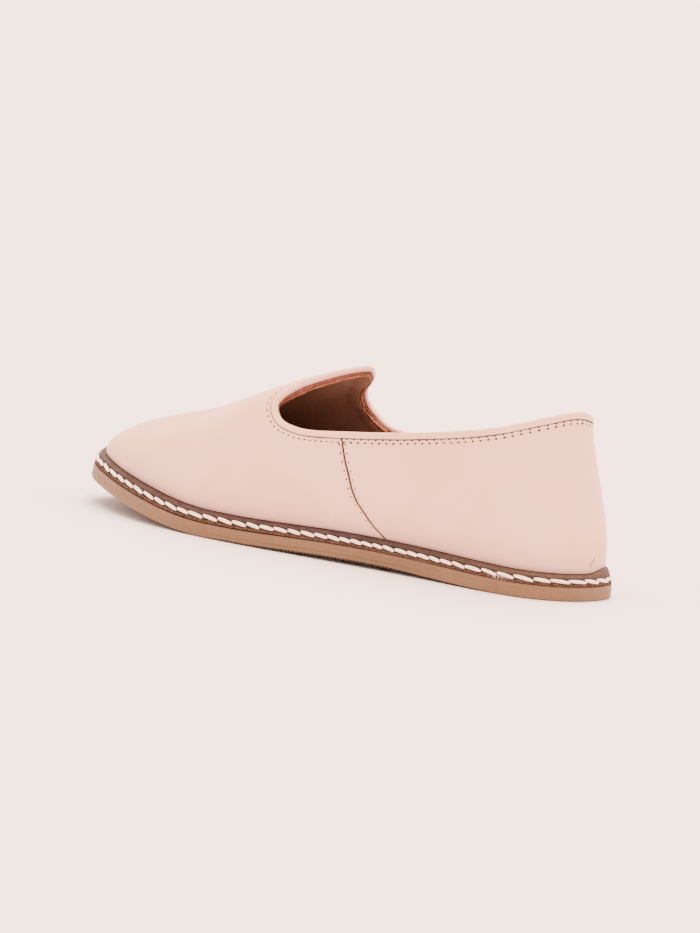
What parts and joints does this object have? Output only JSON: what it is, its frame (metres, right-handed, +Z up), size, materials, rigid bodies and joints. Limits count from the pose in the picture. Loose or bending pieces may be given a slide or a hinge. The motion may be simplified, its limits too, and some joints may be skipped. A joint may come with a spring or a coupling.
{
  "type": "flat shoe",
  "caption": "Left flat slip-on shoe with a high tongue-shaped vamp, rolled collar, leather midsole with a sewn welt margin and a thin rubber outsole.",
  "frame": {"origin": "on the floor, under the middle of the sole's plan box", "axes": "+X to the toe, +Y to the outer side of the foot, +Z up"},
  "size_m": [0.26, 0.0882, 0.074],
  "materials": {
    "rubber_sole": "matt tan rubber with fine tread",
    "welt_leather": "brown cut-edge leather, slightly rough",
    "sock_leather": "smooth undyed brown leather",
    "upper_leather": "pale pink leather, fine grain, soft sheen",
    "binding_leather": "pale pink leather, rolled edge"
  },
  "bodies": {
    "root": {"outsole": "rubber_sole", "midsole": "welt_leather", "insole": "sock_leather", "upper": "upper_leather", "collar_binding": "binding_leather"}
  },
  "joints": []
}
